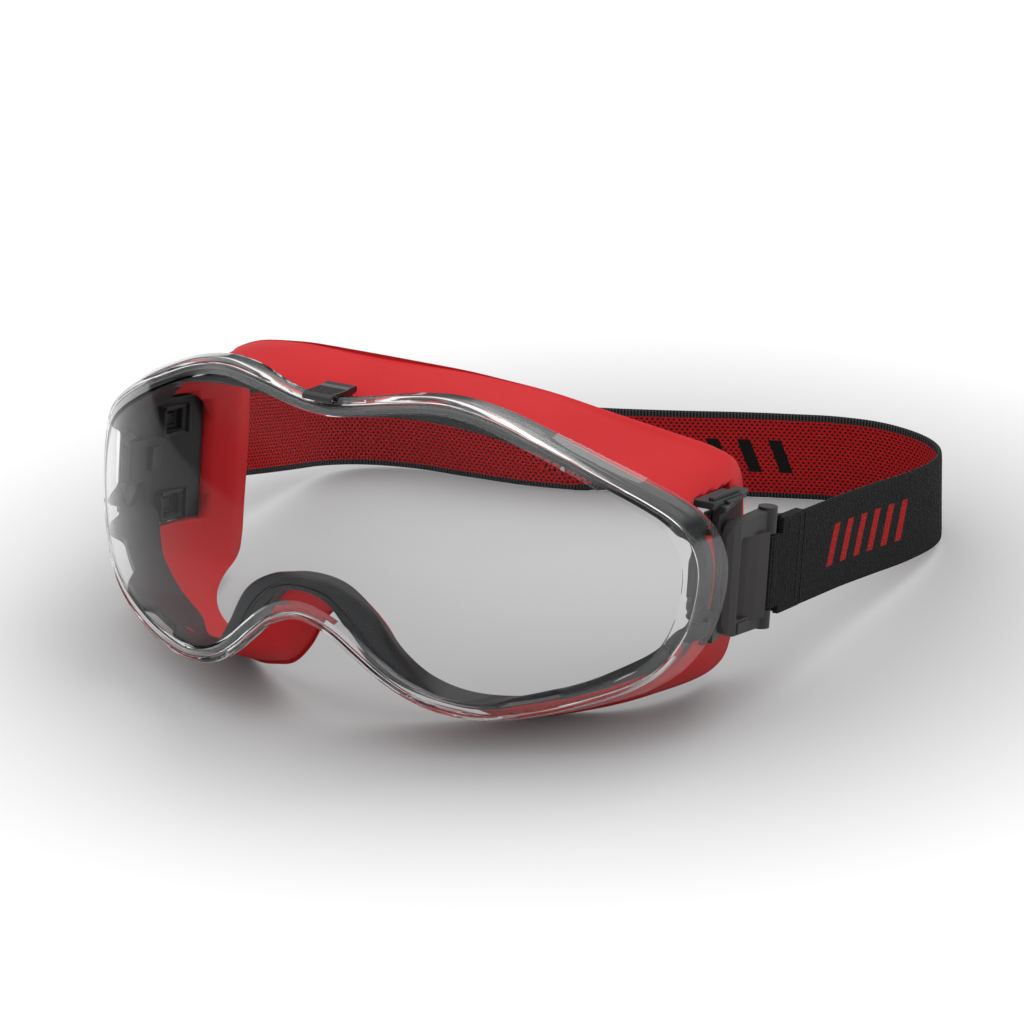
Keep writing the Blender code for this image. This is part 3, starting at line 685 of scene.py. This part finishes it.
WEBBING = webbing_material("elastic_webbing")
WEBBING_END = webbing_material("elastic_webbing_end", woven=False)
calm_bounce(WEBBING)


def band_mesh(name, lower, up, outward, start_length, body):
    """A length of the band, and how far along each of its places is.

    The weave attribute holds millimetres along, millimetres across, and 1 on the inside.
    """
    half = STRAP_THICKNESS / 2
    across = np.array([-1.0, -0.985, -0.93, -0.8, -0.5, 0.0, 0.5, 0.8, 0.93, 0.985, 1.0]) * STRAP_WIDTH / 2
    edge = np.array([0.35, 0.75, 0.92, 1.0, 0.96, 0.94, 0.96, 1.0, 0.92, 0.75, 0.35]) * half
    profile = [(a, e, 0.0) for a, e in zip(across, edge)]
    profile += [(a, -e, 1.0) for a, e in zip(across[::-1], edge[::-1])]
    middle = lower + up * STRAP_WIDTH / 2
    steps = np.linalg.norm(np.diff(middle, axis=0), axis=1)
    length = np.concatenate([[0], np.cumsum(steps)]) + start_length
    vertices, weave = [], []
    for i in range(len(middle)):
        for a, e, side in profile:
            vertices.append(middle[i] + up[i] * a + outward[i] * e)
            weave.append((length[i], a, side))
    count = len(profile)
    faces = ring_faces(count, len(middle), closed=False)
    faces.append(tuple(range(count)))
    faces.append(tuple(range((len(middle) - 1) * count, len(middle) * count)))
    band = mesh_object(name, np.array(vertices), faces, WEBBING, smooth_angle=60, body=body, slot="webbing")
    layer = band.data.attributes.new("weave", "FLOAT_VECTOR", "POINT")
    layer.data.foreach_set("vector", np.array(weave, np.float32).ravel())
    return band, length


def make_headband():
    """Three lengths of the band: the middle rides on the frame, and each end, between its sewn loop and the
    middle, rides on no body.

    The right end is short, so that it stays clear of the slider.
    """
    lower, up, outward = strap_frames()
    last = len(lower) - 1
    left_join, right_join = 3 * ROUTE_STEPS, last - 5
    spans = (("left", 0, left_join), ("middle", left_join, right_join), ("right", right_join, last))
    start_length = 0.0
    for word, first, final in spans:
        cut = slice(first, final + 1)
        body = ROOT if word == "middle" else None
        band, length = band_mesh(f"headband_{word}", lower[cut], up[cut], outward[cut], start_length, body)
        start_length = length[-1]
        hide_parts("headband")
        if word == "left":
            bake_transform(band)
        if word == "right":
            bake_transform(band)


def make_stitches():
    """Rows of thread across each sewn end, where the band is folded back on itself."""
    for side, word in ((1, "left"), (-1, "right")):
        places = []
        for y in (83.6, 89.6):
            for level in np.arange(-21.6, 0.6, 1.9):
                low, high = sorted((side * 97.0, side * 97.42))
                places.append(((low, y - 0.22, level), (high, y + 0.22, level + 1.2)))
        soften_edges(boxes(f"stitches_{word}", places, THREAD, body=f"swivel_{word}"), 0.12)


# ---------------------------------------------------------------- build

def dress_cad_nodes():
    """Materials for the CAD pieces that are shown as they are."""
    special = {"pivot_pin_left": STEEL, "pivot_pin_right": STEEL, "strap_end_left": WEBBING_END,
               "strap_end_right": WEBBING_END, "strap_yoke_left": CLIP, "strap_yoke_right": CLIP,
               "strap_slider": CLIP, "top_latch": GLOSS_BLACK}
    for name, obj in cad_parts.items():
        obj.data.materials.clear()
        obj.data.materials.append(special.get(name, NYLON))


make_lens()
make_ring()
make_side_details()
make_seal()
make_headband()
make_stitches()
dress_cad_nodes()


# ---------------------------------------------------------------- floor, light and camera

def smooth_range(tree, value, low, high, at_low, at_high):
    ramp = node(tree, "ShaderNodeMapRange", interpolation_type="SMOOTHSTEP")
    for socket, limit in zip(ramp.inputs[1:5], (low, high, at_low, at_high)):
        socket.default_value = limit
    tree.links.new(value, ramp.inputs[0])
    return ramp.outputs[0]


def make_floor():
    """A pale sweep with a painted soft shadow: light grey where the goggles lie, and brighter further out."""
    bm = bmesh.new()
    bmesh.ops.create_circle(bm, cap_ends=True, segments=96, radius=3.0)
    mesh = bpy.data.meshes.new("floor")
    bm.to_mesh(mesh)
    bm.free()
    floor = bpy.data.objects.new("floor", mesh)
    bpy.context.scene.collection.objects.link(floor)
    material, tree, shader = new_material("pale_floor_painted_shadow")
    place = node(tree, "ShaderNodeTexCoord")
    centred = node(tree, "ShaderNodeMapping")
    centred.inputs["Location"].default_value = (-0.02, -0.03, 0.0)
    tree.links.new(place.outputs["Object"], centred.inputs[0])
    away = node(tree, "ShaderNodeVectorMath", operation="LENGTH")
    tree.links.new(centred.outputs[0], away.inputs[0])
    # Painted shadow: the floor is grey within 75 mm of a point near the goggles' middle and fades to near white
    # by 240 mm.
    share = smooth_range(tree, away.outputs["Value"], 0.075, 0.24, 0.0, 1.0)
    painted_shadow_colour = mix_colour(tree, share, (0.57, 0.57, 0.575), (0.97, 0.97, 0.97))
    tree.links.new(painted_shadow_colour, shader.inputs["Base Color"])
    shader.inputs["Roughness"].default_value = 0.7
    shader.inputs["Specular IOR Level"].default_value = 0.1
    mesh.materials.append(material)
    floor.location.z = -0.0003


def make_world():
    """A white dome over the set, with a dark band near the horizon that edges of clear plastic pick up."""
    world = bpy.data.worlds.new("studio")
    bpy.context.scene.world = world
    world.use_nodes = True
    tree = world.node_tree
    background = tree.nodes["Background"]
    place = node(tree, "ShaderNodeTexCoord")
    parts = node(tree, "ShaderNodeSeparateXYZ")
    tree.links.new(place.outputs["Generated"], parts.inputs[0])
    tree.links.new(smooth_range(tree, parts.outputs[2], 0.18, 0.36, 0.05, 1.0), background.inputs[0])
    background.inputs[1].default_value = 1.04


def area_light(name, place, target, size, power):
    light = bpy.data.lights.new(name, "AREA")
    light.shape = "RECTANGLE"
    light.size, light.size_y = size
    light.energy = power
    lamp = bpy.data.objects.new(name, light)
    lamp.location = place
    lamp.rotation_euler = (Vector(target) - Vector(place)).to_track_quat("-Z", "Y").to_euler()
    bpy.context.scene.collection.objects.link(lamp)


def make_camera():
    """The photograph's viewpoint, found by matching the goggles' size and outline."""
    camera = bpy.data.cameras.new("camera")
    camera.lens = FOCAL_LENGTH
    camera.sensor_width = 36.0
    camera.clip_start, camera.clip_end = 0.05, 60.0
    holder = bpy.data.objects.new("camera", camera)
    back = Vector(CAMERA_BACK).normalized()
    right = Vector(CAMERA_RIGHT).normalized()
    turn = Matrix((right, back.cross(right), back)).transposed().to_4x4()
    holder.matrix_world = Matrix.Translation(CAMERA_PLACE) @ turn
    bpy.context.scene.collection.objects.link(holder)
    bpy.context.scene.camera = holder


make_floor()
make_world()
area_light("back_key", (0.3, 0.75, 1.25), (0, 0, 0.02), (0.9, 0.9), 5.0)
make_camera()
bpy.context.scene.view_settings.view_transform = "Standard"
